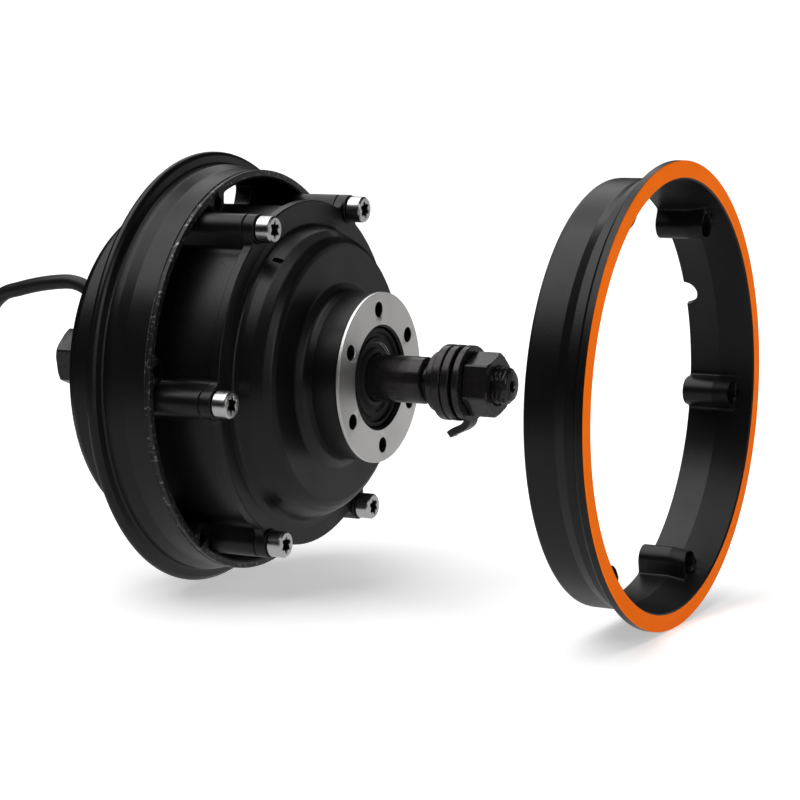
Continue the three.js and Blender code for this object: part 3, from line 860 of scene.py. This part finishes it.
def flatten_band(obj, inner, wide, tall):
    """Reshapes a ring of radius inner to a box with round corners, with the half width
    and half height given; all in millimetres."""
    power = 4
    for vertex in obj.data.vertices:
        beyond = math.hypot(vertex.co.x, vertex.co.z) / MM - inner
        angle = math.atan2(vertex.co.x, vertex.co.z)
        across = abs(math.sin(angle) / (wide + beyond)) ** power
        up = abs(math.cos(angle) / (tall + beyond)) ** power
        reach = (across + up) ** (-1 / power)
        vertex.co.x = reach * math.sin(angle) * MM
        vertex.co.z = reach * math.cos(angle) * MM


tie = turn("tie_band", rounded([
    point(8.0, -2, 0.2), point(8.7, -2, 0.2), point(8.7, 2, 0.2), point(8.0, 2, 0.2),
]), [black_plastic], 96)
flatten_band(tie, 8.0, 5.35, 2.55)
head_outline = [(-2.2, 2.6), (2.2, 2.6), (2.2, 4.8), (-2.2, 4.8)]
tie_head = slab("tie_head", head_outline, -2.6, 2.6, black_plastic, 0.5)
TIE_PLACE = Vector((COIL[0] + (COIL_FIRST + COIL_LAST) / 2, COIL[1], COIL_Z))
for piece in (tie, tie_head):
    piece.data.transform(Matrix.Translation(TIE_PLACE))
    stand(piece, ROOT, "cable_tie")

PLUG = (-20.8, -63.5)                   # [x, z] of its middle line, in millimetres


def plug_body():
    """The plug's shell, from its open end to the collar on the lead, with its cavity."""
    profile = rounded([
        point(0, -197, 0), point(4.6, -197, 0.2), point(5.2, -196.4, 0.3),
        point(5.2, -183.2, 0.3), point(6.1, -182.8, 0.3), point(6.5, -182.2, 0.4),
        point(6.5, -180.6, 0.3), point(6.0, -180.2, 0.2), point(6.0, -179.2, 0.2),
        point(6.5, -178.8, 0.3), point(6.5, -172.4, 0.8), point(5.6, -171, 0.8),
        point(3.7, -170.6, 0.6), point(3.4, -167, 0.4), point(2.9, -163.6, 0.2),
        point(0, -163.6, 0),
    ][::-1])
    body = move(turn("plug_body", profile, [black_plastic], 96), *PLUG)
    drill(body, [rod("cavity", 4.1, -200, -188, *PLUG, black_plastic)])
    return body


plug = stand(plug_body(), ROOT, "motor_plug")
for index in range(9):
    x, z = around(0 if index == 0 else 2.5, 45 * index)
    pin = turn(f"plug_pin_{index + 1}", rounded([
        point(0, -195, 0), point(0.45, -195, 0.3), point(0.45, -187.5, 0), point(0, -187.5, 0),
    ][::-1]), [pin_metal], 16)
    move(pin, PLUG[0] + x, PLUG[1] + z)
    stand(pin, ROOT, "motor_plug")


def knurl(angle, r, y, weight):
    """Twenty grooves where weight is 1."""
    return r - weight * 0.35 * max(0.0, math.cos(20 * angle)) ** 2


cap_nut = turn("plug_nut", rounded([
    point(5.4, -195, 0.2), point(6.9, -195, 0.4), point(7.2, -194.2, 0.3),
    point(7.2, -193.2, 0.3), point(7.5, -192.8, 0.2, 1), point(7.5, -185.4, 0.2, 1),
    point(7.2, -185, 0.3), point(7.2, -184.2, 0.3), point(6.8, -183.5, 0.4),
    point(5.4, -183.5, 0.2),
]), [black_plastic], 240, knurl)
stand(move(cap_nut, *PLUG), ROOT, "plug_cap_nut")

# ---- finishes of the parts that stay as they were packed ----

FINISHES = {
    "stator_spider": aluminium, "stator_core": lamination, "stator_windings": copper,
    "hall_sensor_board": board, "magnet_yoke": black_steel, "magnet_ring": magnet,
}
for side in ("left", "right"):
    for piece in ("inner", "outer", "balls"):
        FINISHES[f"bearing_{piece}_{side}"] = bearing_steel
for node, material in FINISHES.items():
    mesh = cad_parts[node].data
    mesh.materials.clear()
    mesh.materials.append(material)

# ---- stage and light ----


def panel(name, location, target, width, height, power):
    """A rectangular lamp at location, in metres, that points at target."""
    light = bpy.data.lights.new(name, "AREA")
    light.shape = "RECTANGLE"
    light.size = width
    light.size_y = height
    light.energy = power
    obj = bpy.data.objects.new(name, light)
    bpy.context.scene.collection.objects.link(obj)
    obj.location = location
    obj.rotation_euler = (Vector(target) - Vector(location)).to_track_quat("-Z", "Y").to_euler()
    obj.visible_camera = False
    return obj


def sheet_of_paper(name, size, location, grey, glow, turned=(0, 0, 0)):
    """A matt plane for the stage that also glows a little, so that it comes out white."""
    bpy.ops.mesh.primitive_plane_add(size=size, location=location, rotation=turned)
    obj = bpy.context.object
    obj.name = name
    paper = Finish(name, (grey, grey, grey), 0.9, 0.0, 0.0)
    paper.shader.inputs["Emission Color"].default_value = (1, 1, 1, 1)
    paper.shader.inputs["Emission Strength"].default_value = glow
    obj.data.materials.append(paper.material)
    return obj


def sun(name, towards, strength, spread):
    """A round overhead softbox, far away: the same light at every place."""
    light = bpy.data.lights.new(name, "SUN")
    light.energy = strength
    light.angle = math.radians(spread)
    obj = bpy.data.objects.new(name, light)
    bpy.context.scene.collection.objects.link(obj)
    obj.rotation_euler = (-Vector(towards)).to_track_quat("-Z", "Y").to_euler()
    return obj


floor = sheet_of_paper("floor", 16, (-5, -3, FLOOR_Z), 0.8, 0.5)
floor.visible_glossy = False
under = sheet_of_paper("floor_below", 0.7, (0, 0.05, FLOOR_Z - 0.0005), 0.5, 0.15)
under.visible_camera = False
facing_camera = (math.radians(90), 0, math.radians(-62))
backdrop = sheet_of_paper("backdrop", 16, (-9, -5, 2), 0.8, 1.2, facing_camera)
backdrop.visible_glossy = False
backdrop.visible_diffuse = False
backdrop.visible_shadow = False

sun("overhead", (0.22, -0.24, 0.95), 2.4, 66)
panel("rear_top", (-0.75, -0.5, 0.85), (0, 0, 0), 0.7, 0.7, 2.4)
panel("behind_right", (-1.0, 0.65, 0.1), (0, 0, 0), 1.2, 0.9, 1.9)
panel("front_right", (0.35, 1.0, 0.35), (0, 0.05, 0), 0.25, 0.8, 2.0)

world = bpy.data.worlds.new("studio")
bpy.context.scene.world = world
world.use_nodes = True
background = world.node_tree.nodes["Background"]
background.inputs["Color"].default_value = (1, 1, 1, 1)
background.inputs["Strength"].default_value = 0.004

bpy.context.scene.view_settings.view_transform = "Standard"
bpy.context.scene.view_settings.gamma = 0.9
